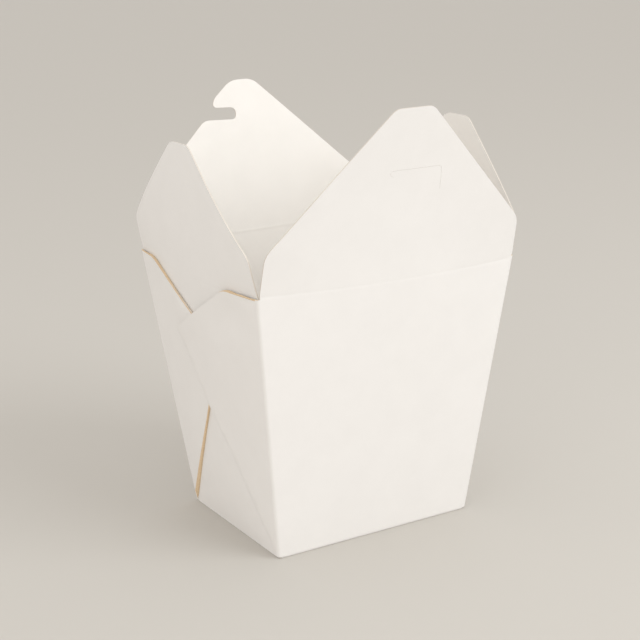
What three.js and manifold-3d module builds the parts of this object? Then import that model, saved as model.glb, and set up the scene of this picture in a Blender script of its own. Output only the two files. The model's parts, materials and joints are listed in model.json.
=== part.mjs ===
// A folded paperboard noodle box, standing open and empty.
//
// The carton is one die-cut sheet: a base, four walls that lean outward, and a web in each
// corner that is folded double and glued flat against the side wall beside it. Above the
// crease round the top, each wall carries on as a flap. The back flap ends in a hook, and
// the front flap has the slit that the hook goes into.
//
// Millimetres, +Z up, origin at the centre of the underside. The front faces -Y.

import * as THREE from 'three';
import { mergeVertices } from 'three/addons/utils/BufferGeometryUtils.js';
import Module from 'manifold-3d';

const wasm = await Module();
wasm.setup();

// ---- driving dimensions ------------------------------------------------------------

const HEIGHT = 102;            // underside to the crease of the front and back flaps
const BASE_WIDTH = 82;         // along X
const BASE_DEPTH = 66;         // along Y
const TOP_WIDTH = 105;         // along X, at HEIGHT
const TOP_DEPTH = 92;          // along Y, at HEIGHT
const BOARD = 0.5;             // thickness of one layer of board
const CORNER_RADIUS = 1.6;     // outside radius of a folded corner of the wall
const SIDE_CREASE_DROP = 1;    // the side flaps crease this much lower, so they tuck under

const FLAP_LEAN = 14;          // degrees from upright, as the open box stands
const RIM_BELOW_CREASE = 0.2;  // the wall ends this far below the crease line
const FLAP_ABOVE_CREASE = 0.45; // and the flap starts this far above it

const WHITE_BOARD = { color: 0xf0ece6, roughness: 0.55, metalness: 0 };

// Outlines of the flaps, in the flat: half widths, and heights above the crease.
const FRONT_FLAP = {
  crease: 51.5, shoulder: 51.4, shoulderHeight: 14.5, shoulderRound: 6,
  tip: 11.5, top: 61.3, tipRound: 6,
};
const SIDE_FLAP = {
  crease: 45, shoulder: 44.1, shoulderHeight: 14, shoulderRound: 6,
  tip: 9, top: 46, tipRound: 5,
};
// The slit runs along the front flap and then turns down at one end.
const SLIT = { left: -6.5, right: 14.2, height: 39.2, foot: 30.5, width: 0.5 };
// The hook's notch is cut into the back flap from its right edge, seen from outside.
const NOTCH = { end: 5, lower: 43.8, upper: 48.6 };
const HOOK = { nose: 14.1, noseHeight: 50.8, crown: 4.5, top: 60, shoulder: 9.2, shoulderHeight: 54 };

// The folded corner webs lie on the side walls. Each outline is given on the wall: how far
// along it from the middle, and how far up the slope.
const WEB_TOP = 101;           // up the slope, where a web's cut edge runs along the rim
const FRONT_WEB = { cutStart: 30, tipAlong: 24, tipUp: 76 };   // the outer one
const BACK_WEB = { cutStart: 34, tipAlong: 13, tipUp: 76.7 };  // goes under the front one
const WEB_INSET = 0.6;         // keeps a web's outline clear of the corner's bend

// ---- worked out from them ------------------------------------------------------------

const degrees = Math.PI / 180;
const sideSlope = (TOP_WIDTH - BASE_WIDTH) / 2 / HEIGHT;
const frontSlope = (TOP_DEPTH - BASE_DEPTH) / 2 / HEIGHT;
const sideLean = Math.atan(sideSlope);
const SIDE_HEIGHT = HEIGHT - SIDE_CREASE_DROP;
const webThickness = 2 * BOARD;

// ---- solids --------------------------------------------------------------------------

// A closed three.js geometry, merged down to positions, as a solid that can be cut.
function solidOf(geometry) {
  const bare = geometry.index ? geometry.toNonIndexed() : geometry.clone();
  bare.deleteAttribute('normal');
  bare.deleteAttribute('uv');
  const merged = mergeVertices(bare, 1e-4);
  return new wasm.Manifold(new wasm.Mesh({
    numProp: 3,
    vertProperties: new Float32Array(merged.attributes.position.array),
    triVerts: new Uint32Array(merged.index.array),
  }));
}

// The solid back as a three.js geometry.
function geometryOf(solid) {
  const mesh = solid.getMesh();
  const geometry = new THREE.BufferGeometry();
  geometry.setAttribute('position', new THREE.BufferAttribute(mesh.vertProperties, 3));
  geometry.setIndex(new THREE.BufferAttribute(mesh.triVerts, 1));
  geometry.computeVertexNormals();
  return geometry;
}

// A flat outline given thickness, from one height to another.
function slab(shape, from, to) {
  const geometry = new THREE.ExtrudeGeometry(shape, { depth: to - from, bevelEnabled: false, curveSegments: 6 });
  return geometry.translate(0, 0, from);
}

// ---- the carton's body -----------------------------------------------------------------

// A rectangle with round corners, drawn on any shape or path.
function roundedRectangle(path, halfWidth, halfDepth, radius) {
  path.moveTo(halfWidth, -halfDepth + radius);
  path.lineTo(halfWidth, halfDepth - radius);
  path.absarc(halfWidth - radius, halfDepth - radius, radius, 0, Math.PI / 2);
  path.lineTo(-halfWidth + radius, halfDepth);
  path.absarc(-halfWidth + radius, halfDepth - radius, radius, Math.PI / 2, Math.PI);
  path.lineTo(-halfWidth, -halfDepth + radius);
  path.absarc(-halfWidth + radius, -halfDepth + radius, radius, Math.PI, Math.PI * 1.5);
  path.lineTo(halfWidth - radius, -halfDepth);
  path.absarc(halfWidth - radius, -halfDepth + radius, radius, Math.PI * 1.5, Math.PI * 2);
  return path;
}

// Pushes every point outward with height, so that upright walls take the box's taper and
// keep their thickness.
function taper(geometry) {
  const position = geometry.attributes.position;
  const flatWidth = BASE_WIDTH / 2 - CORNER_RADIUS;
  const flatDepth = BASE_DEPTH / 2 - CORNER_RADIUS;
  for (let i = 0; i < position.count; i++) {
    const x = position.getX(i);
    const y = position.getY(i);
    const z = position.getZ(i);
    position.setX(i, x + sideSlope * z * THREE.MathUtils.clamp(x / flatWidth, -1, 1));
    position.setY(i, y + frontSlope * z * THREE.MathUtils.clamp(y / flatDepth, -1, 1));
  }
  return geometry;
}

function cartonWalls() {
  const outline = roundedRectangle(new THREE.Shape(), BASE_WIDTH / 2, BASE_DEPTH / 2, CORNER_RADIUS);
  const inside = roundedRectangle(
    new THREE.Path(), BASE_WIDTH / 2 - BOARD, BASE_DEPTH / 2 - BOARD, CORNER_RADIUS - BOARD);
  outline.holes.push(inside);
  const walls = solidOf(taper(slab(outline, 0, HEIGHT - RIM_BELOW_CREASE)));
  const sideRim = SIDE_HEIGHT - RIM_BELOW_CREASE;
  const lowering = new THREE.BoxGeometry(TOP_WIDTH + 4 * CORNER_RADIUS, TOP_DEPTH - 2 * BOARD, HEIGHT);
  lowering.translate(0, 0, sideRim + HEIGHT / 2);
  return walls.subtract(solidOf(lowering));
}

function cartonBase() {
  const outline = roundedRectangle(new THREE.Shape(), BASE_WIDTH / 2, BASE_DEPTH / 2, CORNER_RADIUS);
  return solidOf(taper(slab(outline, 0, BOARD)));
}

// Half of the side wall's own width, at a height up its slope.
function halfWallAt(up) {
  return BASE_DEPTH / 2 + frontSlope * up * Math.cos(sideLean);
}

// A web's outline on the side wall; toward is -1 for the front corner and +1 for the back.
function webOutline(web, toward) {
  const outline = new THREE.Shape();
  outline.moveTo(toward * (halfWallAt(0) - CORNER_RADIUS), WEB_INSET);
  outline.lineTo(toward * (halfWallAt(WEB_TOP) - CORNER_RADIUS), WEB_TOP);
  outline.lineTo(toward * web.cutStart, WEB_TOP);
  outline.lineTo(-toward * web.tipAlong, web.tipUp);
  outline.closePath();
  return outline;
}

// The two webs on one side wall, as they lie on it: the front one rides over the back one.
function sideWebs() {
  const sunk = BOARD / 2;
  const front = webOutline(FRONT_WEB, -1);
  const back = webOutline(BACK_WEB, 1);
  const frontLow = solidOf(slab(front, -sunk, webThickness));
  const backLow = solidOf(slab(back, -sunk, webThickness));
  const frontHigh = solidOf(slab(front, webThickness / 2, 2 * webThickness));
  const backTall = solidOf(slab(back, -sunk, 3 * webThickness));
  return frontLow.add(backLow).add(frontHigh.intersect(backTall));
}

// Places what lies on a side wall: along the wall, up its slope, outward; side is -1 or +1.
function ontoSideWall(side) {
  const outward = new THREE.Vector3(side * Math.cos(sideLean), 0, -Math.sin(sideLean));
  const upSlope = new THREE.Vector3(side * Math.sin(sideLean), 0, Math.cos(sideLean));
  const along = new THREE.Vector3(0, 1, 0);
  const matrix = new THREE.Matrix4().makeBasis(along, upSlope, outward);
  return matrix.setPosition(side * BASE_WIDTH / 2, 0, 0);
}

function cartonBody() {
  let body = cartonWalls().add(cartonBase());
  for (const side of [-1, 1]) {
    body = body.add(sideWebs().transform(ontoSideWall(side).elements));
  }
  return geometryOf(body);
}

// ---- the flaps -----------------------------------------------------------------------------

// The point a distance before (or past, if negative) the end of a straight run.
function before(end, start, distance) {
  const run = new THREE.Vector2().subVectors(start, end);
  return end.clone().add(run.setLength(distance));
}

// Draws through corners in turn, rounding each by its own amount.
function roundedOutline(corners) {
  const shape = new THREE.Shape();
  corners.forEach((corner, i) => {
    const previous = corners[(i + corners.length - 1) % corners.length];
    const next = corners[(i + 1) % corners.length];
    const start = before(corner.at, previous.at, corner.round);
    const end = before(corner.at, next.at, corner.round);
    if (i === 0) {
      shape.moveTo(start.x, start.y);
    } else {
      shape.lineTo(start.x, start.y);
    }
    if (corner.round > 0) {
      shape.quadraticCurveTo(corner.at.x, corner.at.y, end.x, end.y);
    }
  });
  shape.closePath();
  return shape;
}

function corner(x, y, round = 0) {
  return { at: new THREE.Vector2(x, y), round };
}

// The common outline: straight sides, a diagonal on each side, and a short flat top.
function flapOutline(flap) {
  return roundedOutline([
    corner(-flap.crease, FLAP_ABOVE_CREASE),
    corner(flap.crease, FLAP_ABOVE_CREASE),
    corner(flap.shoulder, flap.shoulderHeight, flap.shoulderRound),
    corner(flap.tip, flap.top, flap.tipRound),
    corner(-flap.tip, flap.top, flap.tipRound),
    corner(-flap.shoulder, flap.shoulderHeight, flap.shoulderRound),
  ]);
}

function frontOutline() {
  const outline = flapOutline(FRONT_FLAP);
  const slit = new THREE.Path();
  slit.moveTo(SLIT.left, SLIT.height);
  slit.lineTo(SLIT.right, SLIT.height);
  slit.lineTo(SLIT.right, SLIT.foot);
  slit.lineTo(SLIT.right - SLIT.width, SLIT.foot);
  slit.lineTo(SLIT.right - SLIT.width, SLIT.height - SLIT.width);
  slit.lineTo(SLIT.left, SLIT.height - SLIT.width);
  slit.closePath();
  outline.holes.push(slit);
  return outline;
}

// Where the back flap's diagonal passes at a height above the crease.
function diagonalAt(height) {
  const run = (HOOK.shoulderHeight - FRONT_FLAP.shoulderHeight) / (FRONT_FLAP.shoulder - HOOK.shoulder);
  return HOOK.shoulder + (HOOK.shoulderHeight - height) / run;
}

// The back flap seen from outside: its hook opens to the right there.
function backOutline() {
  const round = (NOTCH.upper - NOTCH.lower) / 2;
  return roundedOutline([
    corner(-FRONT_FLAP.crease, FLAP_ABOVE_CREASE),
    corner(FRONT_FLAP.crease, FLAP_ABOVE_CREASE),
    corner(FRONT_FLAP.shoulder, FRONT_FLAP.shoulderHeight, FRONT_FLAP.shoulderRound),
    corner(diagonalAt(NOTCH.lower), NOTCH.lower, 1.5),
    corner(NOTCH.end, NOTCH.lower, round * 0.98),
    corner(NOTCH.end, NOTCH.upper, round * 0.98),
    corner(HOOK.nose, NOTCH.upper, 1.2),
    corner(HOOK.nose, HOOK.noseHeight, 0.9),
    corner(HOOK.crown, HOOK.top, 3.5),
    corner(-HOOK.crown, HOOK.top, 2.5),
    corner(-HOOK.shoulder, HOOK.shoulderHeight, 2.5),
    corner(-FRONT_FLAP.shoulder, FRONT_FLAP.shoulderHeight, FRONT_FLAP.shoulderRound),
  ]);
}

// A flap on its crease. turn says which wall: 0 front, 90 right, 180 back, 270 left.
function flap(name, outline, turn, toCrease, creaseHeight) {
  const geometry = geometryOf(solidOf(slab(outline, -BOARD / 2, BOARD / 2)));
  const mesh = new THREE.Mesh(geometry, new THREE.MeshStandardMaterial(WHITE_BOARD));
  mesh.name = name;
  const crease = new THREE.Group();
  crease.position.set(0, -toCrease, creaseHeight);
  crease.rotation.x = (90 + FLAP_LEAN) * degrees;
  crease.add(mesh);
  const wall = new THREE.Group();
  wall.rotation.z = turn * degrees;
  wall.add(crease);
  return wall;
}

// ---- the box ---------------------------------------------------------------------------------

const body = new THREE.Mesh(cartonBody(), new THREE.MeshStandardMaterial(WHITE_BOARD));
body.name = 'carton_body';

const frontCrease = TOP_DEPTH / 2 - BOARD / 2;
const sideCrease = TOP_WIDTH / 2 - sideSlope * SIDE_CREASE_DROP - BOARD / 2;

const box = new THREE.Group();
box.add(body);
box.add(flap('front_flap', frontOutline(), 0, frontCrease, HEIGHT));
box.add(flap('right_flap', flapOutline(SIDE_FLAP), 90, sideCrease, SIDE_HEIGHT));
box.add(flap('back_flap', backOutline(), 180, frontCrease, HEIGHT));
box.add(flap('left_flap', flapOutline(SIDE_FLAP), 270, sideCrease, SIDE_HEIGHT));

export default box;
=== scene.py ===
# %% [markdown]
# # A folded noodle box in Blender
#
# The box is one die-cut sheet of white coated board. It stands open and empty: four walls
# lean outward from a small base, each wall carries on above a scored crease as a flap, and
# in every corner a web of board is folded double and glued against the side wall.
# The CAD frame gives the real sizes and the hinges. This script gives the board its looks:
# every wall is a thin bent sheet with its flap, rounded corners, soft creases and brown
# cut edges, which are partly the board's bare core and partly painted shade.

# %% Load the frame
import json
import math

import bpy
import numpy as np
from mathutils import Matrix, Vector, geometry


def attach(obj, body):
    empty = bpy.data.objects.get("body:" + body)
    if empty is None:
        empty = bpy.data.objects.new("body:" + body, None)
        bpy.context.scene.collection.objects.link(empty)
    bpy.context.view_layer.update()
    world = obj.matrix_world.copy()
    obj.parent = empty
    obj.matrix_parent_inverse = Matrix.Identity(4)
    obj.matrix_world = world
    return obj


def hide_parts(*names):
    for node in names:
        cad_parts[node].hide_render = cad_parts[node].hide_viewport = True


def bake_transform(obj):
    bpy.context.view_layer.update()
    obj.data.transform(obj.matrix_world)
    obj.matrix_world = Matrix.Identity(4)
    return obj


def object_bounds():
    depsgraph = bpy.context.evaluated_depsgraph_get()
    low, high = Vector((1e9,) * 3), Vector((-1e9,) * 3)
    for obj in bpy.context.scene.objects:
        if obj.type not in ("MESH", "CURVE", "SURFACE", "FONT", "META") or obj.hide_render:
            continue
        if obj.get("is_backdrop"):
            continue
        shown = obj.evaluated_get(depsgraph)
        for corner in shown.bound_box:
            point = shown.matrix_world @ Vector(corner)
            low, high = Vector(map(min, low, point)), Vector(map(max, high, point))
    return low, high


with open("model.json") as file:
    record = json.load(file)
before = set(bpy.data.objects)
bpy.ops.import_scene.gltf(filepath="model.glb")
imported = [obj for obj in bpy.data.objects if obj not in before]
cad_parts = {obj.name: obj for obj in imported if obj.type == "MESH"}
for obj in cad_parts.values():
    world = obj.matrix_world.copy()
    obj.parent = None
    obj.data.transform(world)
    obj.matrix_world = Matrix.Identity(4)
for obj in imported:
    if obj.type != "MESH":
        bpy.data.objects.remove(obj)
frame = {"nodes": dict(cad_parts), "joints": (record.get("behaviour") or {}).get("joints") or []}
cad_bounds = [list(map(float, corner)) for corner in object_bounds()]
print("CAD box, m:", cad_bounds)

# %% [markdown]
# ## Sizes
#
# Lengths are in metres, and small ones are written as so many millimetres. The walls'
# places come from the frame: the creases are the hinge joints, and the base is what the
# carton's lowest points cover. Working from the frame keeps every sheet where the CAD
# solid of the same wall stands.

# %% Measure the walls
MM = 0.001
BOARD = 0.45 * MM           # one layer of board
HALF_BOARD_CAD = 0.25 * MM  # a CAD wall's outside lies this far outside its hinge line
ON_FLOOR = 0.01 * MM        # a point under this height touches the floor

creases = {joint["name"]: Vector(joint["pos_m"]) for joint in frame["joints"]}
body_points = [vertex.co for vertex in frame["nodes"]["carton_body"].data.vertices]
base_points = [point for point in body_points if point.z < ON_FLOOR]
base_half_x = max(point.x for point in base_points)
base_half_y = max(point.y for point in base_points)
front_height = creases["front_crease"].z
side_height = creases["left_crease"].z
front_out = -creases["front_crease"].y + HALF_BOARD_CAD
side_out = -creases["left_crease"].x + HALF_BOARD_CAD
side_lean = math.atan2(side_out - base_half_x, side_height)
print("base, mm:", round(2 * base_half_x / MM, 1), "by", round(2 * base_half_y / MM, 1))
print("top, mm:", round(2 * side_out / MM, 1), "by", round(2 * front_out / MM, 1))
print("creases up, mm:", round(front_height / MM, 1), "and", round(side_height / MM, 1))

# %% [markdown]
# ## The camera
#
# The box is seen from its front left corner and a little above, through a long lens that
# keeps the walls' lines nearly parallel. The camera is placed by its angles round an aim
# point, because angles are easy to check against the object.

# %% Place the camera
CAMERA_AZIMUTH = math.radians(-30.67)
CAMERA_ELEVATION = math.radians(16.04)
CAMERA_ROLL = math.radians(-1.41)
CAMERA_AIM = Vector((0.0016, 0.0063, 0.0730))
CAMERA_DISTANCE = 0.569
CAMERA_LENS = 83.9         # millimetres, as the sensor
CAMERA_SENSOR = 36
CAMERA_CLIP = 0.01


def place_camera():
    """The camera, turned toward its aim and then rolled a little about its line of sight."""
    away = Vector((
        math.sin(CAMERA_AZIMUTH) * math.cos(CAMERA_ELEVATION),
        -math.cos(CAMERA_AZIMUTH) * math.cos(CAMERA_ELEVATION),
        math.sin(CAMERA_ELEVATION),
    ))
    level = Vector((math.cos(CAMERA_AZIMUTH), math.sin(CAMERA_AZIMUTH), 0))
    rise = away.cross(level)
    right = level * math.cos(CAMERA_ROLL) + rise * math.sin(CAMERA_ROLL)
    up = away.cross(right)
    camera = bpy.data.objects.new("camera", bpy.data.cameras.new("camera"))
    bpy.context.scene.collection.objects.link(camera)
    camera.data.lens = CAMERA_LENS
    camera.data.sensor_width = CAMERA_SENSOR
    camera.data.clip_start = CAMERA_CLIP
    turn = Matrix((right, up, away)).transposed().to_4x4()
    camera.matrix_world = Matrix.Translation(CAMERA_AIM + away * CAMERA_DISTANCE) @ turn
    bpy.context.scene.camera = camera
    return camera


print("camera at", tuple(round(x, 4) for x in place_camera().matrix_world.translation))

# %% [markdown]
# ## Floor and light
#
# A white box shows its shape only by soft shade. One broad lamp at the front right lights
# the front wall and leaves the left side a step darker. A weaker, warmer lamp low on the
# left and an even pale surround fill the shadows, as in a studio tent. The floor is a
# plain pale sheet.

# %% Light the studio
KEY_LAMP = {"azimuth": math.radians(28), "elevation": math.radians(34), "distance": 1.1,
            "size": 0.7, "power": 5.0, "colour": (0.915, 0.96, 1)}
FILL_LAMP = {"azimuth": math.radians(-55), "elevation": math.radians(8), "distance": 1.3,
             "size": 1.0, "power": 3.0, "colour": (1, 0.985, 0.965)}
LAMP_AIM = Vector((0, 0, 0.08))
SURROUND = 0.95
SURROUND_COLOUR = (1, 0.983, 0.96, 1)
FLOOR_SIDE = 6.0
FLOOR_COLOUR = (0.56, 0.53, 0.485, 1)


def soft_lamp(name, azimuth, elevation, distance, size, power, colour):
    """A square lamp that faces the box from some way round it and above it."""
    lamp = bpy.data.objects.new(name, bpy.data.lights.new(name, "AREA"))
    bpy.context.scene.collection.objects.link(lamp)
    lamp.data.shape = "SQUARE"
    lamp.data.size = size
    lamp.data.energy = power
    lamp.data.color = colour
    towards = Vector((
        math.sin(azimuth) * math.cos(elevation),
        -math.cos(azimuth) * math.cos(elevation),
        math.sin(elevation),
    ))
    lamp.location = LAMP_AIM + towards * distance
    lamp.rotation_euler = towards.to_track_quat("Z", "Y").to_euler()


def pale_floor():
    """A wide matt sheet under the box, which belongs to the stage and not to the part."""
    mesh = bpy.data.meshes.new("floor")
    signs = [(-1, -1), (1, -1), (1, 1), (-1, 1)]
    mesh.from_pydata([(x * FLOOR_SIDE, y * FLOOR_SIDE, 0) for x, y in signs], [], [(0, 1, 2, 3)])
    floor = bpy.data.objects.new("floor", mesh)
    bpy.context.scene.collection.objects.link(floor)
    paint = bpy.data.materials.new("pale floor")
    paint.use_nodes = True
    shader = paint.node_tree.nodes["Principled BSDF"]
    shader.inputs["Base Color"].default_value = FLOOR_COLOUR
    shader.inputs["Roughness"].default_value = 0.8
    mesh.materials.append(paint)
    floor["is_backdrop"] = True


pale_floor()
soft_lamp("key", **KEY_LAMP)
soft_lamp("fill", **FILL_LAMP)
world = bpy.data.worlds.new("studio")
bpy.context.scene.world = world
world.use_nodes = True
surround = world.node_tree.nodes["Background"]
surround.inputs["Color"].default_value = SURROUND_COLOUR
surround.inputs["Strength"].default_value = SURROUND
bpy.context.scene.view_settings.view_transform = "Standard"
print("lamps and floor set")

# %% [markdown]
# ## The board's finishes
#
# White coated board is smooth and slightly satin. Close up it has a faint mottle where the
# fibres show through the coating, and a fine orange-peel of tiny dents. The inside is a
# touch warmer. Where the board is cut, its brown fibres are bare and matt, and the same
# brown is painted as the shade along the webs' edges and in the back webs' folds. Each
# finish is built from noise in the object's own space, so that it runs on from one sheet to
# the next.

# %% Mix the finishes
# Noise scales are in lumps for each metre, so the mottle is about 11 mm across.
MOTTLE_SCALE = 90
SHEEN_SCALE = 300
PEEL_SCALE = 1400
WAVE_SCALE = 45
FIBRE_SCALE = 1800
SHEEN_CHANGE = 0.05        # how far the roughness wanders to either side
OUTSIDE_WHITES = ((0.822, 0.797, 0.772), (0.836, 0.811, 0.786))
INSIDE_WHITES = ((0.828, 0.794, 0.748), (0.843, 0.809, 0.763))
FLAP_EDGE_GREYS = ((0.64, 0.58, 0.51), (0.70, 0.64, 0.57))
# These browns stand for bare fibres and also for painted shade along the webs' edges and in the back
# webs' folds.
FIBRE_AND_SHADE_BROWNS = ((0.64, 0.475, 0.30), (0.82, 0.64, 0.43))


def noise(tree, scale, detail, roughness=0.5):
    """A cloudy value from 0 to 1 that is fixed to the board."""
    coordinates = tree.nodes.get("place") or tree.nodes.new("ShaderNodeTexCoord")
    coordinates.name = "place"
    texture = tree.nodes.new("ShaderNodeTexNoise")
    texture.inputs["Scale"].default_value = scale
    texture.inputs["Detail"].default_value = detail
    texture.inputs["Roughness"].default_value = roughness
    tree.links.new(coordinates.outputs["Object"], texture.inputs["Vector"])
    return texture.outputs["Fac"]


def ramp(tree, fac, low, high, dark, light):
    """A colour that goes from dark to light as a value goes from low to high."""
    node = tree.nodes.new("ShaderNodeValToRGB")
    node.color_ramp.elements[0].position = low
    node.color_ramp.elements[1].position = high
    node.color_ramp.elements[0].color = (*dark, 1)
    node.color_ramp.elements[1].color = (*light, 1)
    tree.links.new(fac, node.inputs["Fac"])
    return node.outputs["Color"]


def dents(tree, height, strength, distance, under=None):
    """A bumpy normal from a height, laid over another one where it is given."""
    node = tree.nodes.new("ShaderNodeBump")
    node.inputs["Strength"].default_value = strength
    node.inputs["Distance"].default_value = distance
    tree.links.new(height, node.inputs["Height"])
    if under is not None:
        tree.links.new(under, node.inputs["Normal"])
    return node.outputs["Normal"]


def coated_board(name, dark, light, roughness):
    """Smooth white board: a faint mottle, a fine peel and long low waves."""
    material = bpy.data.materials.new(name)
    material.use_nodes = True
    tree = material.node_tree
    shader = tree.nodes["Principled BSDF"]
    mottle = noise(tree, MOTTLE_SCALE, detail=5, roughness=0.6)
    colour = ramp(tree, mottle, low=0.35, high=0.65, dark=dark, light=light)
    tree.links.new(colour, shader.inputs["Base Color"])
    rough = tree.nodes.new("ShaderNodeMapRange")
    rough.inputs["To Min"].default_value = roughness - SHEEN_CHANGE
    rough.inputs["To Max"].default_value = roughness + SHEEN_CHANGE
    tree.links.new(noise(tree, SHEEN_SCALE, detail=3), rough.inputs["Value"])
    tree.links.new(rough.outputs["Result"], shader.inputs["Roughness"])
    peel_height = noise(tree, PEEL_SCALE, detail=3)
    peel = dents(tree, peel_height, strength=0.12, distance=0.05 * MM)
    wave_height = noise(tree, WAVE_SCALE, detail=2)
    waves = dents(tree, wave_height, strength=0.03, distance=0.4 * MM, under=peel)
    tree.links.new(waves, shader.inputs["Normal"])
    shader.inputs["Specular IOR Level"].default_value = 0.35
    return material


def bare_edge_and_shade(name):
    """Brown fibres, matt and a little rough, where the board is cut or its coating has split; the
    same brown is also painted shade along the webs' edges and folds.
    """
    material = bpy.data.materials.new(name)
    material.use_nodes = True
    tree = material.node_tree
    shader = tree.nodes["Principled BSDF"]
    fibres = noise(tree, FIBRE_SCALE, detail=4, roughness=0.7)
    tree.links.new(ramp(tree, fibres, 0.3, 0.7, *FIBRE_AND_SHADE_BROWNS), shader.inputs["Base Color"])
    rough = dents(tree, fibres, strength=0.4, distance=0.1 * MM)
    tree.links.new(rough, shader.inputs["Normal"])
    shader.inputs["Roughness"].default_value = 0.9
    shader.inputs["Specular IOR Level"].default_value = 0.2
    return material


FINISHES = [
    coated_board("coated board outside", *OUTSIDE_WHITES, roughness=0.42),
    coated_board("coated board inside", *INSIDE_WHITES, roughness=0.5),
    coated_board("flap edge", *FLAP_EDGE_GREYS, roughness=0.7),
    bare_edge_and_shade("bare cut edge and painted shade"),
]
# The brown finish is bare board and painted shade at once.
OUTSIDE, INSIDE, PALE_CUT, BROWN_CUT_AND_SHADE = range(4)   # where each finish is in that list
print("finishes:", [material.name for material in FINISHES])

# %% [markdown]
# ## How a sheet of board is made
#
# A sheet starts as a flat outline, as it lies in the blank. It is filled with triangles
# whose points sit on an even grid, and more closely along the lines where the board bends.
# Each point is then carried to its place in space by a function that knows the walls, the
# creases and the rounded corners. Bending a flat blank this way gives walls, corners and
# folded webs that run on from each other without a seam, which separate walls could not.

# %% Fill an outline
GRID = 3 * MM              # between the points of the even grid
ROW_SHARE = 0.866          # the grid's rows are this share of that apart
EDGE_STEP = 2 * MM         # between the points along an outline or a crease
LINE_STEP = 4 * MM         # between the points along a straight bend
CLEAR_OF_EDGE = 0.45 * GRID
CLEAR_OF_LINE = 0.4 * GRID
SAME_PLACE = 1e-7          # points this close count as one
TINY = 1e-18               # keeps a length of nothing from being divided by


def inside_outline(points, outline):
    """Which points lie inside a closed outline, by counting crossings."""
    x, y = points[:, 0], points[:, 1]
    inside = np.zeros(len(points), bool)
    previous = outline[-1]
    for corner in outline:
        (x1, y1), (x2, y2) = previous, corner
        crosses = (y1 > y) != (y2 > y)
        if y1 != y2:
            inside ^= crosses & (x < (x2 - x1) * (y - y1) / (y2 - y1) + x1)
        previous = corner
    return inside


def along(start, end, step):
    """Points from start up to end, about step apart, without the end itself."""
    start, end = np.array(start, float), np.array(end, float)
    count = max(1, round(np.linalg.norm(end - start) / step))
    return [tuple(start + (end - start) * i / count) for i in range(count)]


def dense(outline):
    """A closed outline with points about an edge step apart."""
    points = []
    for corner, following in zip(outline, outline[1:] + outline[:1]):
        points += along(corner, following, EDGE_STEP)
    return points


def distance_to(points, line):
    """How far each point is from the nearest place on a line of many runs."""
    nearest = np.full(len(points), np.inf)
    for a, b in zip(line[:-1], line[1:]):
        a, b = np.array(a), np.array(b)
        run = b - a
        share = np.clip(((points - a) @ run) / max(run @ run, TINY), 0, 1)
        nearest = np.minimum(nearest, np.linalg.norm(points - a - share[:, None] * run, axis=1))
    return nearest


def fill(outline, holes, lines):
    """Points and triangles that fill an outline but for its holes, with edges on its lines."""
    outline = dense(outline)
    loops = [outline] + holes
    corners = [Vector(p) for loop in loops for p in loop]
    edges, start = [], 0
    for loop in loops:
        edges += [(start + i, start + (i + 1) % len(loop)) for i in range(len(loop))]
        start += len(loop)
    for line in lines:
        edges += [(len(corners) + i, len(corners) + i + 1) for i in range(len(line) - 1)]
        corners += [Vector(p) for p in line]
    low, high = np.min(outline, axis=0), np.max(outline, axis=0)
    rows = int((high[1] - low[1]) / (GRID * ROW_SHARE)) + 2
    columns = int((high[0] - low[0]) / GRID) + 2
    grid_points = np.array([
        (low[0] + (i + 0.5 * (j % 2)) * GRID, low[1] + j * GRID * ROW_SHARE)
        for j in range(rows) for i in range(columns)
    ])
    keep = inside_outline(grid_points, outline)
    for loop in loops:
        keep &= distance_to(grid_points, loop + [loop[0]]) > CLEAR_OF_EDGE
    for line in lines:
        keep &= distance_to(grid_points, line) > CLEAR_OF_LINE
    corners += [Vector(p) for p in grid_points[keep]]
    points, _, faces, *_ = geometry.delaunay_2d_cdt(corners, edges, [], 0, SAME_PLACE)
    points = np.array([tuple(p) for p in points])
    faces = np.array([tuple(f) for f in faces])
    middles = points[faces].mean(axis=1)
    wanted = inside_outline(middles, outline)
    for hole in holes:
        wanted &= ~inside_outline(middles, hole)
    return points, faces[wanted]


TRIAL_SIDE = 20 * MM
trial_square = [(0, 0), (TRIAL_SIDE, 0), (TRIAL_SIDE, TRIAL_SIDE), (0, TRIAL_SIDE)]
print("a 20 mm square of board takes", len(fill(trial_square, [], [])[1]), "triangles")

# %% [markdown]
# ## Two faces and a rim
#
# Board has a thickness, and its cut edges are what the eye finds first. A modifier could
# thicken the sheet, but it would give all its cut edges the same finish. So the inner face
# is made here, by moving each point of the outer face inward along its normal, and a strip
# of four-sided faces joins the two along every cut. Each face gets its finish as it is made.

# %% Give a filled outline its place and its thickness
SHARP_ANGLE = math.radians(40)   # edges that turn more than this are shaded sharp


def vertex_normals(places, faces):
    """The outward direction at each point, from the triangles around it."""
    a, b, c = (places[faces[:, k]] for k in range(3))
    across = np.cross(b - a, c - a)
    normals = np.zeros_like(places)
    for k in range(3):
        np.add.at(normals, faces[:, k], across)
    return normals / np.maximum(np.linalg.norm(normals, axis=1), TINY)[:, None]


def rim_of(faces):
    """The directed edges that only one triangle has."""
    edges = {}
    for a, b, c in faces.tolist():
        edges.update({(a, b): None, (b, c): None, (c, a): None})
    return [edge for edge in edges if edge[::-1] not in edges]


def sheet_object(name, vertices, polygons, finishes):
    """A smooth-shaded object with a finish for each of its faces."""
    mesh = bpy.data.meshes.new(name)
    mesh.from_pydata(vertices, [], polygons)
    for finish in FINISHES:
        mesh.materials.append(finish)
    mesh.polygons.foreach_set("material_index", finishes)
    mesh.polygons.foreach_set("use_smooth", [True] * len(polygons))
    mesh.set_sharp_from_angle(angle=SHARP_ANGLE)
    mesh.update()
    sheet = bpy.data.objects.new(name, mesh)
    bpy.context.scene.collection.objects.link(sheet)
    print(name, len(vertices), "points,", len(polygons), "faces")
    return sheet


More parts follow.
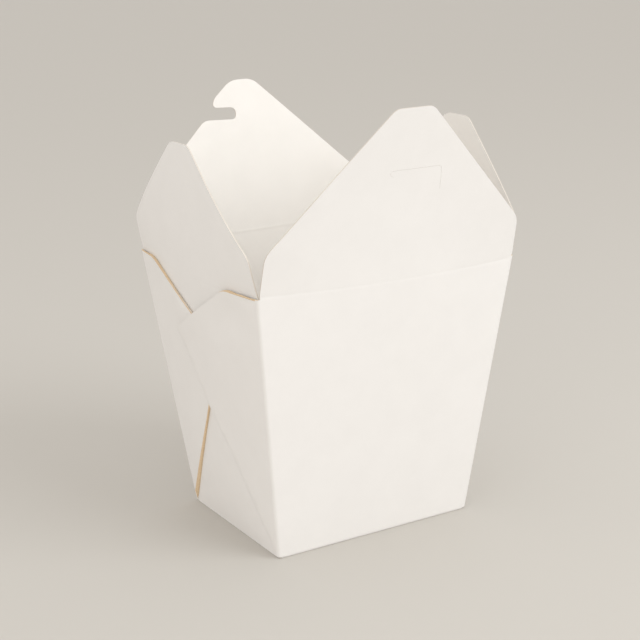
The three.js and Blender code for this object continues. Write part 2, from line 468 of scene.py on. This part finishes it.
def board(name, points, faces, place, rim_finish, face_finish, turn):
    """A bent sheet of board from its flat points, facing the front and then turned."""
    used = np.unique(faces)
    renumber = np.full(len(points), -1)
    renumber[used] = np.arange(len(used))
    points, faces = points[used], renumber[faces]
    outer = place(points)
    inner = outer - vertex_normals(outer, faces) * BOARD
    cosine, sine = math.cos(turn), math.sin(turn)
    spin = np.array(((cosine, sine, 0), (-sine, cosine, 0), (0, 0, 1)))
    vertices = (np.concatenate([outer, inner]) @ spin).tolist()
    count = len(outer)
    polygons = [tuple(face) for face in faces.tolist()]
    finishes = face_finish(points[faces].mean(axis=1)).tolist()
    polygons += [(c + count, b + count, a + count) for a, b, c in faces.tolist()]
    finishes += [INSIDE] * len(faces)
    for a, b in rim_of(faces):
        polygons.append((b, a, a + count, b + count))
        finishes.append(rim_finish(points[a], points[b]))
    return sheet_object(name, vertices, polygons, finishes)


print("board is", BOARD / MM, "mm thick")

# %% [markdown]
# ## A wall and its flap
#
# Every wall is drawn as if it faced the front and then turned to its side. A point of the
# blank is given by how far it lies across the wall and how far up its slope. Below the
# crease it lies on the leaning wall, and above it on the flap. Board that has been folded
# and handled is never quite flat: the walls belly out a little between their corners, the
# score line sags, and the bulge dies out toward the flap's tip.

# %% Describe a wall
FLAP_LEAN = math.radians(14)
BASE_ROUND = 0.5 * MM      # outside radius of the fold round the base
FOOT_UP = 0.44 * MM        # the walls begin where that fold ends
CORNER_ROUND = 1.3 * MM    # outside radius of an upright corner
FADE_LENGTH = 48 * MM      # the bulge is gone this far up a flap
FOOT_STIFFNESS = 9         # how soon above its foot a wall begins to belly out
SCORE_DEPTH = 0.06 * MM    # the dent of a scored crease
SCORE_WIDTH = 0.35 * MM
RIDGE_HEIGHT = 0.025 * MM  # the ridge that the score pushes up under it
RIDGE_WIDTH = 0.55 * MM
RIDGE_DOWN = 1.1 * MM
BEND_ROWS = (-4, -2.4, -1.7, -1.1, -0.6, -0.3, 0, 0.3, 0.7, 1.4, 2.6, 4.2)   # mm from a crease


def smooth(share):
    """A soft step from 0 to 1."""
    share = np.clip(share, 0, 1)
    return share * share * (3 - 2 * share)


class Wall:
    """A leaning wall with the flap above it, facing the front."""

    def __init__(self, half_base, half_top, out_base, out_top, height,
                 bow, belly, sag, curl, flap_length, slant=0.0, scored=1.0):
        self.half_base, self.half_top = half_base, half_top
        self.out_base, self.height = out_base, height
        rise = np.array((0, -(out_top - out_base), height))
        self.slope = float(np.linalg.norm(rise))
        self.up = rise / self.slope
        self.normal = np.array((0, -self.up[2], self.up[1]))
        self.bow, self.belly, self.sag = bow, belly, sag
        self.curl, self.flap_length = curl, flap_length
        self.slant, self.scored = slant, scored
        self.edge = 0.0            # the bulge ends this far inside the wall's side edges

    def half_at(self, up):
        """Half the wall's width at a distance up its slope."""
        return self.half_base + (self.half_top - self.half_base) * up / self.slope

    def crease_at(self, across):
        """How far up the slope the crease is, at a distance across the wall."""
        share = np.clip(across / self.half_top, -1, 1)
        return self.slope - self.sag * (1 - share * share) - self.slant * (1 + share) / 2

    def bulge(self, across, up):
        """How far the wall stands out of its flat plane."""
        share = np.clip(across / (self.half_at(np.minimum(up, self.slope)) - self.edge), -1, 1)
        height = np.clip(up / self.slope, 0, 1)
        belly = self.belly * (1 - np.exp(-height * FOOT_STIFFNESS)) * (1 - height)
        return (self.bow * height ** 1.5 + belly) * (1 - share * share)

    def score(self, offset):
        """The dent and the ridge that a scored crease leaves on the outside."""
        dent = SCORE_DEPTH * np.exp(-(offset / SCORE_WIDTH) ** 2)
        ridge = RIDGE_HEIGHT * np.exp(-((offset + RIDGE_DOWN) / RIDGE_WIDTH) ** 2)
        return self.scored * (ridge - dent)

    def place(self, points):
        """Points of the blank, carried to the leaning wall and its flap."""
        across, up = points[:, 0], points[:, 1]
        crease = self.crease_at(across)
        above = np.maximum(up - crease, 0)
        below = np.minimum(up, crease)
        bulge = self.bulge(across, below)
        level = np.zeros_like(across)
        at_wall = np.stack([across, level - self.out_base, level], axis=1) + below[:, None] * self.up
        at_wall += (bulge + self.score(up - crease))[:, None] * self.normal
        flap_up = np.array((0, -math.sin(FLAP_LEAN), math.cos(FLAP_LEAN)))
        flap_out = np.array((0, -math.cos(FLAP_LEAN), -math.sin(FLAP_LEAN)))
        left = 1 - np.clip(above / FADE_LENGTH, 0, 1)
        settle = bulge * (left * left - 1) - self.curl * (above / self.flap_length) ** 2
        return at_wall + above[:, None] * flap_up + settle[:, None] * flap_out

    def crease_lines(self, half_width):
        """Lines along the crease, closer together where the board bends."""
        steps = np.linspace(-half_width, half_width, int(2 * half_width / EDGE_STEP) + 1)
        return [[(across, float(self.crease_at(across)) + row * MM) for across in steps]
                for row in BEND_ROWS]


LEFT_CURL = 6.4 * MM
side_half_top = front_out - (front_out - base_half_y) * (1 - side_height / front_height)
side_wall = Wall(base_half_y, side_half_top, base_half_x, side_out, side_height,
                 bow=2.6 * MM, belly=1.6 * MM, sag=1.5 * MM, curl=LEFT_CURL,
                 flap_length=46 * MM, scored=0.3)
print("side wall, mm up its slope:", round(side_wall.slope / MM, 2))

# %% [markdown]
# ## Corners and webs
#
# The front and back walls run on round the upright corners into the webs. A web is a wide
# triangle of board that is folded in half, back on itself, and glued flat to the side
# wall, so that it shows as two layers there. In the blank it is a kite beyond the wall's
# edge. Two bends carry it to its place: the round corner and the fold down its middle.
# Lying on the side wall, it takes on that wall's bulge. Modelling it flat and bending it
# afterwards keeps its outline true to what a die can cut.

# %% Describe a wall whose edges run on into webs
WEB_OFF_BASE = 0.55 * MM   # a web's outside over the side wall, at the base
WEB_OFF_TOP = 1.05 * MM    # and at the crease
FOLD_ROUND = 0.48 * MM     # outside radius of the web's own fold
WEB_CUT_UP = 102 * MM      # a web is cut off this far up the side wall's slope, by its crease
WEB_START = 3 * MM         # the fold begins this far up from the base corner
WEB_SETTLE = 3 * MM        # a web lies on the side wall's bulge this far from the corner
CLIMB_LENGTH = 24 * MM     # the front web climbs over the back one in this distance
SPRING_LENGTH = 9 * MM     # a web's cut edge has come unstuck this deep
SPRING_START = 5 * MM      # but not nearer than this to the corner
PAST_CREASE = 0.5 * MM     # the round corner runs on this far above the crease
FOLD_STEPS = 6
side_top_at_front = base_half_x + (side_out - base_half_x) * front_height / side_height


class WrappedWall(Wall):
    """A wall that wraps round both corners into webs on the side walls."""

    def __init__(self, cut_start, tip, climb, lift, **wall):
        super().__init__(base_half_x + WEB_OFF_BASE, side_top_at_front + WEB_OFF_TOP,
                         base_half_y, front_out, front_height, **wall)
        low = np.array((self.half_base, -self.out_base, 0))
        high = np.array((self.half_top, -front_out, front_height))
        self.low = low
        self.edge_up = (high - low) / np.linalg.norm(high - low)
        self.side_normal = np.array((front_height, 0, -(self.half_top - self.half_base)))
        self.side_normal /= np.linalg.norm(self.side_normal)
        self.side_along = np.array((0, 1, 0)) - self.edge_up * self.edge_up[1]
        self.side_along /= np.linalg.norm(self.side_along)
        self.front_along = np.array((1, 0, 0)) - self.edge_up * self.edge_up[0]
        self.front_along /= np.linalg.norm(self.front_along)
        self.turn = math.acos(self.normal @ self.side_normal)
        self.start = CORNER_ROUND * math.tan(self.turn / 2)
        self.end = CORNER_ROUND * self.turn - self.start
        self.edge = self.start
        self.flat_up = np.array((self.half_top - self.half_base, self.slope))
        self.flat_up /= np.linalg.norm(self.flat_up)
        self.flat_out = np.array((self.flat_up[1], -self.flat_up[0]))
        self.climb, self.lift = climb, lift
        self.cut_start, self.tip_on_side = cut_start, tip
        self.tip = self.on_side(*tip)
        self.cut = self.on_side(cut_start, WEB_CUT_UP)
        self.fold = math.atan2(self.tip[1], self.tip[0])
        self.top = (WEB_CUT_UP * math.cos(side_lean) - BOARD) / self.edge_up[2]

    def on_side(self, across, up):
        """A place on the side wall, as (up the corner, out from it)."""
        z = up * math.cos(side_lean)
        x = self.half_base + (self.half_top - self.half_base) * z / self.height
        away = np.array((x, across, z)) - self.low
        return away @ self.edge_up, away @ self.side_along

    def flat(self, up, out):
        """Where that place lies in the blank, on the right of the wall."""
        across = out + self.end - self.start
        return tuple(np.array((self.half_base, 0)) + up * self.flat_up + across * self.flat_out)

    def along_fold(self, up, out):
        """The same place measured up along the web's fold and out past it."""
        cosine, sine = math.cos(self.fold), math.sin(self.fold)
        return up * cosine + out * sine, out * cosine - up * sine

    def from_fold(self, run, past):
        """And back: up the corner and out from it."""
        cosine, sine = math.cos(self.fold), math.sin(self.fold)
        return run * cosine - past * sine, run * sine + past * cosine

    def mirrored(self, up, out):
        """The place that comes to lie under this one when the web is folded."""
        run, past = self.along_fold(up, out)
        return self.from_fold(run, math.pi * FOLD_ROUND - past)

    def place(self, points):
        """Points of the blank, carried to the wall, its flap, its corners and its webs."""
        away = np.stack([np.abs(points[:, 0]) - self.half_base, points[:, 1]], axis=1)
        up, out = away @ self.flat_up, away @ self.flat_out
        placed = super().place(points)
        wraps = (out > -self.start) & (points[:, 1] < self.slope + PAST_CREASE)
        bent = self.place_wrap(up[wraps], out[wraps])
        bent[:, 0] *= np.sign(points[wraps, 0])
        placed[wraps] = bent
        return placed

    def place_wrap(self, up, out):
        """Places beyond the wall's right edge, carried round the corner and over the fold."""
        angle = np.clip((out + self.start) / CORNER_ROUND, 0, self.turn)[:, None]
        centre = self.low - self.start * self.front_along - CORNER_ROUND * self.normal
        round_corner = centre + CORNER_ROUND * (
            np.cos(angle) * self.normal + np.sin(angle) * self.front_along)
        # Past the web's fold a place goes round its radius and then back on itself.
        side_out_now = np.maximum(out - self.end, 0)
        run, past = self.along_fold(up, side_out_now + self.start)
        turned = np.clip(past / FOLD_ROUND, 0, math.pi)
        returned = np.maximum(past - math.pi * FOLD_ROUND, 0)
        past_now = np.where(past > 0, FOLD_ROUND * np.sin(turned) - returned, past)
        sunk = FOLD_ROUND * (np.cos(turned) - 1)
        up_now, out_now = self.from_fold(run, past_now)
        folded = past > 0
        up_now = np.where(folded, up_now, up)
        out_now = np.where(folded, out_now, side_out_now + self.start)
        # Past the corner's bend it lies on the web's flat plane, and then as proud as it stands.
        placed = round_corner + up_now[:, None] * self.edge_up
        on_side = out > self.end
        flat = self.low + up_now[:, None] * self.edge_up + out_now[:, None] * self.side_along
        placed[on_side] = flat[on_side]
        proud = (self.web_rise(placed) + sunk) * smooth((out_now - self.start) / WEB_SETTLE)
        proud = np.where(folded, self.web_rise(placed) + sunk, proud)
        placed[on_side] += proud[on_side, None] * self.side_normal
        return placed

    def web_rise(self, placed):
        """How far a web stands off its flat plane: the side wall's bulge, climb and lift."""
        across, up = placed[:, 1], placed[:, 2] / math.cos(side_lean)
        rise = side_wall.bulge(across, up)
        if self.climb:
            rise = rise + self.climb * smooth(1 + inside_back_web(across, up) / CLIMB_LENGTH)
        from_corner = across + side_wall.half_at(up)
        spring = 1 - smooth(self.under_cut_edge(across, up) / SPRING_LENGTH)
        return rise + self.lift * spring * smooth(from_corner / SPRING_START)

    def under_cut_edge(self, across, up):
        """How far under the web's cut edge a place on the side wall is."""
        tip_across, tip_up = self.tip_on_side
        drop = (WEB_CUT_UP - tip_up) / (tip_across - self.cut_start)
        under_slope = (WEB_CUT_UP - up - (across - self.cut_start) * drop) / math.hypot(1, drop)
        return np.minimum(WEB_CUT_UP - up, under_slope)


print("webs lie on side walls that lean", round(math.degrees(side_lean), 2), "degrees")

# %% [markdown]
# ## Where the webs cross
#
# Each side wall carries two webs, and the front one lies over the back one. Board is too
# stiff to take that as a step, so the front web climbs over a good stretch. Its cut edge
# has also come unstuck and sprung off a little, which gives it a soft shade. Both are
# worked out from the webs' own outlines: the tip and the shoulder of each, measured across
# the side wall from its middle and up its slope.

# %% Set out the webs
FRONT_WEB = {"cut_start": -26 * MM, "tip": (16 * MM, 78.2 * MM)}
BACK_WEB = {"cut_start": -31.8 * MM, "tip": (13.7 * MM, 77 * MM)}


def inside_back_web(across, up):
    """How far inside the back web's edges a place on the side wall is."""
    tip_across, tip_up = -BACK_WEB["tip"][0], BACK_WEB["tip"][1]
    fold_slope = (base_half_y - tip_across) / tip_up
    past_fold = (across - tip_across + (up - tip_up) * fold_slope) / math.hypot(1, fold_slope)
    cut_slope = (WEB_CUT_UP - tip_up) / (-BACK_WEB["cut_start"] - tip_across)
    under_cut = ((across - tip_across) * cut_slope - (up - tip_up)) / math.hypot(1, cut_slope)
    return np.minimum(past_fold, under_cut)


front_wall = WrappedWall(**FRONT_WEB, climb=1.05 * MM, lift=0.5 * MM,
                         bow=2.2 * MM, belly=0.3 * MM, sag=0.75 * MM, slant=1.6 * MM,
                         curl=-0.6 * MM, flap_length=61 * MM, scored=0.5)
back_wall = WrappedWall(**BACK_WEB, climb=0, lift=0.1 * MM,
                        bow=2 * MM, belly=0.3 * MM, sag=0.1 * MM,
                        curl=0.3 * MM, flap_length=60 * MM)
print("front web, mm along its fold:", round(math.hypot(*front_wall.tip) / MM, 1))
print("back web, mm along its fold:", round(math.hypot(*back_wall.tip) / MM, 1))

# %% [markdown]
# ## Outlines
#
# The blank's outline is drawn from straight runs with rounded corners, as a cutting die
# is bent: the wall's foot, the kite of each web, a small nick beside the crease, and then
# the flap with its shoulders, its diagonals and its tip.

# %% Draw the outlines
ROUND_STEPS = 6            # runs in a rounded corner
SHOULDER_ROUND = 4 * MM    # how far from a web's shoulder its rounding begins
UNDER_LAYER_IN = 0.3 * MM  # a web's hidden layer stops this short of the corner's bend
UNDER_LAYER_FOOT = 4 * MM  # and it begins this far up the corner
UNDER_LAYER_TOP = 1 * MM   # and ends this far under the top


def rounded(corners):
    """A closed outline from (x, y, how far from the corner its rounding begins)."""
    points = []
    for i, (x, y, rounding) in enumerate(corners):
        here = np.array((x, y))
        if rounding == 0:
            points.append(tuple(here))
            continue
        before = np.array(corners[i - 1][:2]) - here
        after = np.array(corners[(i + 1) % len(corners)][:2]) - here
        start = here + before / np.linalg.norm(before) * rounding
        end = here + after / np.linalg.norm(after) * rounding
        for k in range(ROUND_STEPS + 1):
            t = k / ROUND_STEPS
            points.append(tuple((1 - t) ** 2 * start + 2 * t * (1 - t) * here + t * t * end))
    return points


def cut_edge_of(wall):
    """The web's cut edge, from its tip over its shoulder to the corner."""
    return rounded([(*wall.tip, 0), (*wall.cut, SHOULDER_ROUND), (wall.top, wall.start, 0)])


def web_outline(wall):
    """The blank from the right end of the foot, round the web, to the nick by the crease."""
    step = (wall.end + wall.start) / FOLD_STEPS
    bend = [k * step - wall.end for k in range(FOLD_STEPS + 1)]
    fold_foot = wall.from_fold(WEB_START, 0)
    low = (UNDER_LAYER_FOOT, wall.start + UNDER_LAYER_IN)
    high = (wall.top - UNDER_LAYER_TOP, wall.start + UNDER_LAYER_IN)
    shoulder = cut_edge_of(wall)[1:-1]
    hidden = [fold_foot, low, high] + shoulder[::-1] + [wall.tip]
    kite = [fold_foot] + [wall.mirrored(*place) for place in hidden] + [wall.tip] + shoulder
    foot = [(FOOT_UP, out) for out in bend]
    top = [(wall.top, out) for out in reversed(bend)]
    return [wall.flat(*place) for place in foot + kite + top]


def mirror(points):
    """The same line on the other side of the blank, drawn backward."""
    return [(-x, y) for x, y in reversed(points)]


def web_lines(wall):
    """Lines along the corner's bend and along the web's fold, on both sides."""
    lines = []
    reach = math.hypot(*wall.tip)
    for k in range(FOLD_STEPS + 1):
        out = k * (wall.end + wall.start) / FOLD_STEPS - wall.end
        past = math.pi * FOLD_ROUND * k / FOLD_STEPS
        ends = [
            (wall.flat(FOOT_UP, out), wall.flat(wall.top, out)),
            (wall.flat(*wall.from_fold(WEB_START, past)), wall.flat(*wall.from_fold(reach, past))),
        ]
        lines += [along(low, high, LINE_STEP) + [high] for low, high in ends]
    return lines + [mirror(line) for line in lines]


def slot_round(path, width):
    """A narrow closed outline on both sides of a path."""
    path = np.array(path)
    runs = np.gradient(path, axis=0)
    sides = np.stack([runs[:, 1], -runs[:, 0]], axis=1)
    sides *= width / 2 / np.linalg.norm(sides, axis=1)[:, None]
    return [tuple(p) for p in np.concatenate([path + sides, (path - sides)[::-1]])]


def above_crease(wall, corners):
    """Corners in millimetres across and above the crease, rounded, in the blank."""
    return rounded([(x * MM, wall.slope + s * MM, r * MM) for x, s, r in corners])


front_flap_corners = [
    (52.3, 1, 0), (51.8, 14.6, 3), (7.1, 61.3, 2.2), (-7.7, 61.3, 2.2), (-51.8, 14.6, 3),
    (-52.3, 1, 0),
]
back_flap_corners = [
    (52.3, 1, 0), (51.7, 14.2, 3), (18.9, 44.4, 2.4), (4.7, 43.7, 2.3), (4.7, 48.4, 2.3),
    (14.7, 49.0, 2.3), (13.2, 52.5, 1.5), (5.2, 59.0, 3.2), (-4.4, 59.1, 3.4), (-51.7, 14.2, 3),
    (-52.3, 1, 0),
]
half_side_flap = [(45.0, 0.6, 0), (44.2, 14, 3), (6.8, 46.3, 3)]
side_flap_corners = half_side_flap + [(-x, s, r) for x, s, r in reversed(half_side_flap)]
slit_path = [
    (-5.2, 37.0), (-6.2, 37.4), (-6.7, 38.3), (-6.1, 39.1), (-5.0, 39.25), (4, 39.2), (12.6, 39.2),
    (13.5, 39.0), (14.1, 38.4), (14.3, 37.5), (14.45, 34), (14.6, 30.5),
]
print("front flap", len(front_flap_corners), "corners, back flap", len(back_flap_corners))

# %% [markdown]
# ## The front and back panels
#
# Each of these is one sheet: the wall, its flap, both rounded corners and both webs. The
# flap's cut edge looks pale, because the coating wraps it when the die crushes through,
# but the webs' edges are brown, with a thin brown strip beside the cut: partly the board's
# bare core, partly painted shade of the double edge and the gap under it. The front web is
# an exception: down its slope the cut is as pale as a flap's, and only the short stretch
# by the corner is brown. Along the back webs' folds a brown band is painted too: partly
# coating cracked along the fold, partly painted shade of the gap between the fold and the
# side wall. The slit for the hook is a very narrow hole.

# %% Fold the front and back panels
# The brown band along a back web's fold is partly cracked coating and partly painted shade of the
# gap between the fold and the side wall, so it is widest at the foot.
CRACK_AND_SHADE_WIDTH = 1.8 * MM     # at the foot of the fold
CRACK_AND_SHADE_END = 50 * MM        # the crack has closed this far up the fold
# The brown strip beside a web's cut edge is partly bare board and partly painted shade of the gap
# along the edge.
FRONT_BARE_AND_SHADE = (0, 0.5 * MM)            # width of the bare strip along a web's slope, and by
BACK_BARE_AND_SHADE = (0.25 * MM, 0.25 * MM)    # the corner
SLIT_WIDTH = 0.045 * MM
FRONT_CREASE_REACH = 51.6 * MM        # the lines along the crease reach this far across
WIDEST_FLAP = 53 * MM                 # a flap reaches no farther than this across
FLAP_EDGE_DOWN = 1 * MM               # its pale edge begins this far under the crease
SLOPE_EDGE_SHORT = 2 * MM             # a pale slope edge ends this far before the shoulder


def crack_and_shade_width(run):
    """How wide the brown band beside the fold is: split coating and painted shade of the fold's gap.
    """
    return CRACK_AND_SHADE_WIDTH * np.maximum(0, 1 - (run - WEB_START) / (CRACK_AND_SHADE_END - WEB_START))


def bare_and_shaded_band(wall, by_slope, by_corner):
    """The two sides of the brown strip beside a web's cut edge, bare board and painted shade,
    thinning to the tip.
    """
    edge = np.array(cut_edge_of(wall))
    run = np.gradient(edge, axis=0)
    inward = np.stack([-run[:, 1], run[:, 0]], axis=1)
    inward /= np.linalg.norm(inward, axis=1)[:, None]
    inward *= -np.sign(inward[-1, 0])   # by the corner, the strip is below the edge
    widths = [0, *np.linspace(by_slope, by_corner, len(edge) - 2), by_corner]
    inner = edge + inward * np.array(widths)[:, None]
    first = 0 if by_slope else 1
    return [[wall.flat(*place) for place in side[first:]] for side in (edge, inner)]


def wrapped_panel(name, wall, flap_corners, holes, cracked_and_shaded, bare, turn):
    """A wall with its flap, both corners and both webs, as one sheet."""
    outline = web_outline(wall)
    outline = outline + above_crease(wall, flap_corners) + mirror(outline)
    lines = wall.crease_lines(FRONT_CREASE_REACH) + web_lines(wall)
    if cracked_and_shaded:
        ends = [wall.from_fold(run, -crack_and_shade_width(run)) for run in (WEB_START, CRACK_AND_SHADE_END)]
        foot, end = (wall.flat(*place) for place in ends)
        crack_and_shade_line = along(foot, end, LINE_STEP) + [end]
        lines += [crack_and_shade_line, mirror(crack_and_shade_line)]
    cut_side, inner_side = bare_and_shaded_band(wall, *bare)
    lines += [inner_side, mirror(inner_side)]
    points, faces = fill(outline, holes, lines)

    def on_web(places):
        """(up the fold, past it, out from the corner) of places in the blank."""
        away = np.stack([np.abs(places[:, 0]) - wall.half_base, places[:, 1]], axis=1)
        out = away @ wall.flat_out - wall.end + wall.start
        return *wall.along_fold(away @ wall.flat_up, out), out

    def rim_finish(a, b):
        """The finish of the cut edge between two neighbouring points of the blank."""
        on_flap = max(a[1], b[1]) > wall.slope - FLAP_EDGE_DOWN and abs(a[0]) < WIDEST_FLAP
        past = on_web((a + b)[None] / 2)[1][0]
        on_slope = abs(past) < abs(wall.along_fold(*wall.cut)[1]) - SLOPE_EDGE_SHORT
        # A web's brown cut edge is bare core and painted shade of the double edge and the gap under
        # it.
        return PALE_CUT if on_flap or (on_slope and not bare[0]) else BROWN_CUT_AND_SHADE

    def face_finish(middles):
        """The finish of the outer faces with these middles."""
        finish = np.full(len(middles), OUTSIDE)
        right = np.stack([np.abs(middles[:, 0]), middles[:, 1]], axis=1)
        # The strip beside the cut is painted brown: bare board and painted shade.
        finish[inside_outline(right, cut_side + inner_side[::-1])] = BROWN_CUT_AND_SHADE
        # Along the back webs' folds the brown band is cracked coating and painted shade of the gap
        # under the fold.
        if cracked_and_shaded:
            run, past, out = on_web(middles)
            in_crack_and_shade = (past > -crack_and_shade_width(run)) & (past < math.pi * FOLD_ROUND)
            finish[in_crack_and_shade & (out > wall.start) & (middles[:, 1] < wall.slope)] = BROWN_CUT_AND_SHADE
        return finish

    return board(name, points, faces, wall.place, rim_finish, face_finish, turn)


slit = slot_round([(x * MM, front_wall.slope + s * MM) for x, s in slit_path], SLIT_WIDTH)
front_panel = wrapped_panel("front_panel", front_wall, front_flap_corners, holes=[slit],
                            cracked_and_shaded=False, bare=FRONT_BARE_AND_SHADE, turn=0)
back_panel = wrapped_panel("back_panel", back_wall, back_flap_corners, holes=[],
                           cracked_and_shaded=True, bare=BACK_BARE_AND_SHADE, turn=math.pi)

# %% [markdown]
# ## The side panels
#
# The side walls lie under the webs. Each ends just inside the thickness of the front and
# back boards, as if folded against them, and carries its shorter flap. The left flap has
# curled well inward toward its tip, and the right one only a little, so the two panels
# are the same wall with two amounts of curl.

# %% Fold the side panels
RIGHT_CURL = 2.0 * MM
TUCK = 0.25 * MM                # a side wall ends this far inside the corner's outside
SHOULDER_TUCK = 0.35 * MM       # and this far at its shoulder
SHOULDER_DOWN = 1.2 * MM        # which is this far under the crease
SIDE_CREASE_REACH = 44.8 * MM


def side_panel(name, wall, turn):
    """A side wall and its flap, as one sheet."""
    foot = (wall.half_at(FOOT_UP) - TUCK, FOOT_UP)
    shoulder = (wall.half_at(wall.slope) - SHOULDER_TUCK, wall.slope - SHOULDER_DOWN)
    outline = [foot, shoulder] + above_crease(wall, side_flap_corners) + mirror([foot, shoulder])
    points, faces = fill(outline, [], wall.crease_lines(SIDE_CREASE_REACH))
    return board(name, points, faces, wall.place, lambda a, b: PALE_CUT,
                 lambda middles: np.full(len(middles), OUTSIDE), turn)


left_panel = side_panel("left_panel", side_wall, -math.pi / 2)
side_wall.curl = RIGHT_CURL
right_panel = side_panel("right_panel", side_wall, math.pi / 2)

# %% [markdown]
# ## The base
#
# The base is a small flat rectangle. Its edges turn up in a soft fold and run on inside
# the thickness of the walls, so that there is no gap to see through. It is made as a stack
# of rings with the same number of points in each, because rings join into neat strips.

# %% Fold the base
TRAY_TURN = math.radians(82.8)  # the fold turns up to the walls' lean
TRAY_CORNER = 2 * MM            # radius of the base's corners
TRAY_WIDER = 0.15 * MM          # the base reaches this far past the side walls, to the webs
TRAY_TOP = 2.2 * MM             # the turned-up edge ends this high, inside the walls
TURN_STEPS = 6
SIDE_STEPS = 10


def rounded_rectangle(half_x, half_y, radius, z):
    """A ring of points round a rectangle with rounded corners."""
    arcs = []
    for quarter, (x, y) in enumerate([(1, -1), (1, 1), (-1, 1), (-1, -1)]):
        centre = np.array((x * (half_x - radius), y * (half_y - radius), z))
        angles = (quarter - 1 + np.linspace(0, 1, TURN_STEPS + 1)) * math.pi / 2
        arcs.append([centre + radius * np.array((math.cos(a), math.sin(a), 0)) for a in angles])
    ring = []
    for arc, following in zip(arcs, arcs[1:] + arcs[:1]):
        ring += arc
        ring += [arc[-1] + (following[0] - arc[-1]) * k / SIDE_STEPS for k in range(1, SIDE_STEPS)]
    return [tuple(point) for point in ring]


def base_tray():
    """The base as a stack of rings, out and up its outer face and back down its inner one."""
    middle = BASE_ROUND * math.tan(TRAY_TURN / 2)
    inner = BASE_ROUND - BOARD
    angles = np.linspace(0, TRAY_TURN, TURN_STEPS + 1)
    section = [(middle - BASE_ROUND * math.sin(a), BASE_ROUND - BASE_ROUND * math.cos(a), OUTSIDE)
               for a in angles]   # (inset from the base's edge, height, finish)
    section += [(0.10 * MM, FOOT_UP + 0.06 * MM, OUTSIDE), (-0.03 * MM, TRAY_TOP, OUTSIDE),
                (0.05 * MM, TRAY_TOP, INSIDE), (0.30 * MM, FOOT_UP + 0.08 * MM, INSIDE)]
    section += [(middle - inner * math.sin(a), BASE_ROUND - inner * math.cos(a), INSIDE)
                for a in reversed(angles)]
    vertices, polygons, finishes = [], [], []
    for inset, z, _ in section:
        half_x, half_y = base_half_x + TRAY_WIDER - inset, base_half_y - inset
        vertices += rounded_rectangle(half_x, half_y, TRAY_CORNER - inset, z)
    count = len(vertices) // len(section)
    for ring, (_, _, finish) in enumerate(section[:-1]):
        for i in range(count):
            a, b = ring * count + i, ring * count + (i + 1) % count
            polygons.append((a, b, b + count, a + count))
            finishes.append(finish)
    polygons += [tuple(reversed(range(count))), tuple(range(len(vertices) - count, len(vertices)))]
    finishes += [OUTSIDE, INSIDE]
    return sheet_object("base_panel", vertices, polygons, finishes)


base_panel = base_tray()

# %% [markdown]
# ## Which part moves with what
#
# The panels replace the CAD solids, which are hidden. Each panel is one sheet across its
# crease. Where its bend would begin and end is worked out along a tilted direction, but the
# panels are not hung on the carton or the flaps and do not bend; only the base is hung on
# the carton.

# %% Hide the CAD solids and hang the base on the carton
END_BEND = (1.0 * MM, 1.0 * MM, math.radians(30))     # below the joint, above it, tilt outward
SIDE_BEND = (0.4 * MM, 2.5 * MM, math.radians(-30))


def bend_at(panel, crease, below, above, tilt):
    """Work out where a panel's bend at its crease would begin and end, just below and just above the
    joint, bake its place and hide the CAD solids; nothing bends it.
    """
    joint = creases[crease]
    outward = Vector((joint.x, joint.y, 0)).normalized()
    rise = outward * math.sin(tilt) + Vector((0, 0, math.cos(tilt)))
    start, end = tuple(joint - rise * below), tuple(joint + rise * above)
    flap = crease.replace("crease", "flap")
    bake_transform(panel)
    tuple(start)
    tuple(end)
    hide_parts(flap, "carton_body")
    print(panel.name, "bends at", crease)


bend_at(front_panel, "front_crease", *END_BEND)
bend_at(back_panel, "back_crease", *END_BEND)
bend_at(left_panel, "left_crease", *SIDE_BEND)
bend_at(right_panel, "right_crease", *SIDE_BEND)
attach(base_panel, "carton")
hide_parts("carton_body")

# %% Compare the two boxes
visual_bounds = [list(map(float, corner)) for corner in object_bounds()]
for axis in range(3):
    cad_side = (cad_bounds[1][axis] - cad_bounds[0][axis]) / MM
    visual_side = (visual_bounds[1][axis] - visual_bounds[0][axis]) / MM
    print("XYZ"[axis], "in mm: CAD", round(cad_side, 1), "visual", round(visual_side, 1))
